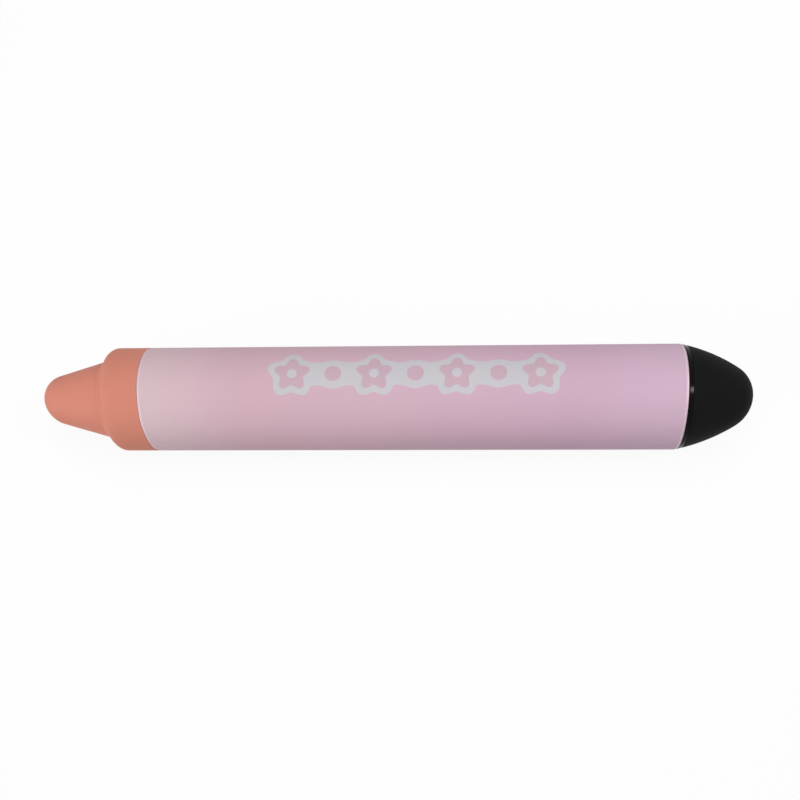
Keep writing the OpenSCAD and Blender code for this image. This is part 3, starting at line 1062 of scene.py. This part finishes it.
class STYLUS_OT_stage(Operator):
    """Makes the pale floor, the soft light and the camera"""

    bl_idname = "stylus.stage"
    bl_label = "Stage"

    def execute(self, context):
        stage, scene = settings("stage"), context.scene
        scene.view_settings.view_transform = "Standard"
        self.make_floor(stage, settings("colours").floor)
        self.make_world(scene, stage)
        for lamp in ("nose_lamp", "top_lamp", "tip_lamp"):
            self.make_lamp(stage, lamp)
        self.make_camera(scene, stage)
        return {"FINISHED"}

    @staticmethod
    def seen_rays(tree):
        """1 for rays that show the background itself or its reflection."""
        rays = add_node(tree, "ShaderNodeLightPath").outputs
        ways = ("Camera", "Glossy", "Transmission")
        camera, glossy, through = (Wire(rays[f"Is {way} Ray"]) for way in ways)
        return calc("MAXIMUM", camera, calc("MAXIMUM", glossy, through))

    def make_floor(self, stage, shade):
        """White floor that still shows the pen's soft shadow."""
        half = stage.floor_size / 2
        corners = [(x * half, y * half, FLOOR_LEVEL) for x, y in ((-1, -1), (1, -1), (1, 1), (-1, 1))]
        mesh = bpy.data.meshes.new("floor")
        mesh.from_pydata(corners, [], [(0, 1, 2, 3)])
        material, tree, shader = new_finish("Pale floor")
        tree.nodes.remove(shader)
        seen = self.seen_rays(tree)
        paper = wire(tree, "ShaderNodeBsdfDiffuse", {"Color": mix(seen, linear(shade), WHITE)})
        glow = wire(tree, "ShaderNodeEmission", {"Color": WHITE, "Strength": 1.0})
        away = wire(tree, "ShaderNodeVectorMath", {0: object_place(tree)}, "Value", operation="LENGTH")
        shaded = ramp(away, stage.shadow_start, stage.shadow_end, stage.shadow, 0.0)
        blend = wire(tree, "ShaderNodeMixShader", {0: seen * (1.0 - shaded), 1: paper, 2: glow})
        plug(blend, tree.nodes["Material Output"].inputs["Surface"])
        mesh.materials.append(material)
        floor = add_object("floor", mesh)

    def make_world(self, scene, stage):
        """White backdrop with an even fill light."""
        world = bpy.data.worlds.new("Studio")
        world.use_nodes = True
        backdrop = world.node_tree.nodes["Background"].inputs
        strength = ramp(self.seen_rays(world.node_tree), 0.0, 1.0, stage.fill, 1.0, smooth=False)
        plug(strength, backdrop["Strength"])
        plug(WHITE, backdrop["Color"])
        scene.world = world

    @staticmethod
    def make_lamp(stage, name):
        """A soft lamp that faces the pen's middle."""
        light = bpy.data.lights.new(name, "AREA")
        light.energy = getattr(stage, name + "_power")
        light.size = getattr(stage, name + "_size")
        lamp = add_object(name, light)
        lamp.location = getattr(stage, name)
        lamp.rotation_euler = lamp.location.to_track_quat("Z", "Y").to_euler()
        lamp.visible_camera = False

    @staticmethod
    def make_camera(scene, stage):
        """Camera at the viewing angle of the picture."""
        view = bpy.data.cameras.new("camera")
        view.lens = stage.camera_lens
        view.shift_x, view.shift_y = stage.camera_shift
        view.clip_start, view.clip_end = CAMERA_NEAR, CAMERA_FAR
        camera = add_object("camera", view)
        camera.location = stage.camera_place
        camera.rotation_mode = "ZYX"
        camera.rotation_euler = stage.camera_turn
        scene.camera = camera


OPERATORS = (STYLUS_OT_wrap, STYLUS_OT_tube, STYLUS_OT_nose, STYLUS_OT_dome, STYLUS_OT_ring,
             STYLUS_OT_fixing, STYLUS_OT_stage)
SETTING_GROUPS = {"sizes": StylusSizes, "colours": StylusColours, "print": StylusPrint,
                  "stage": StylusStage}


class STYLUS_PT_panel(Panel):
    """Buttons and settings of the stylus"""

    bl_idname = "STYLUS_PT_panel"
    bl_label = "Crayon Stylus"
    bl_space_type = "VIEW_3D"
    bl_region_type = "UI"
    bl_category = "Stylus"

    def draw(self, context):
        for operator in OPERATORS:
            self.layout.operator(operator.bl_idname)
        for name in SETTING_GROUPS:
            box = self.layout.box()
            box.label(text=name.title())
            group = settings(name)
            for key in group.__annotations__:
                box.prop(group, key)


def register():
    """Adds the settings, operators and panel to Blender."""
    for name, group in SETTING_GROUPS.items():
        bpy.utils.register_class(group)
        setattr(bpy.types.Scene, "stylus_" + name, PointerProperty(type=group))
    for kind in (*OPERATORS, STYLUS_PT_panel):
        bpy.utils.register_class(kind)


def unregister():
    """Takes them out again."""
    for kind in (STYLUS_PT_panel, *reversed(OPERATORS)):
        bpy.utils.unregister_class(kind)
    for name, group in SETTING_GROUPS.items():
        delattr(bpy.types.Scene, "stylus_" + name)
        bpy.utils.unregister_class(group)


def main():
    """Builds everything."""
    register()
    bpy.ops.stylus.wrap()
    bpy.ops.stylus.tube()
    bpy.ops.stylus.nose()
    bpy.ops.stylus.dome()
    bpy.ops.stylus.ring()
    bpy.ops.stylus.fixing()
    bpy.ops.stylus.stage()


if __name__ == "__main__":
    main()
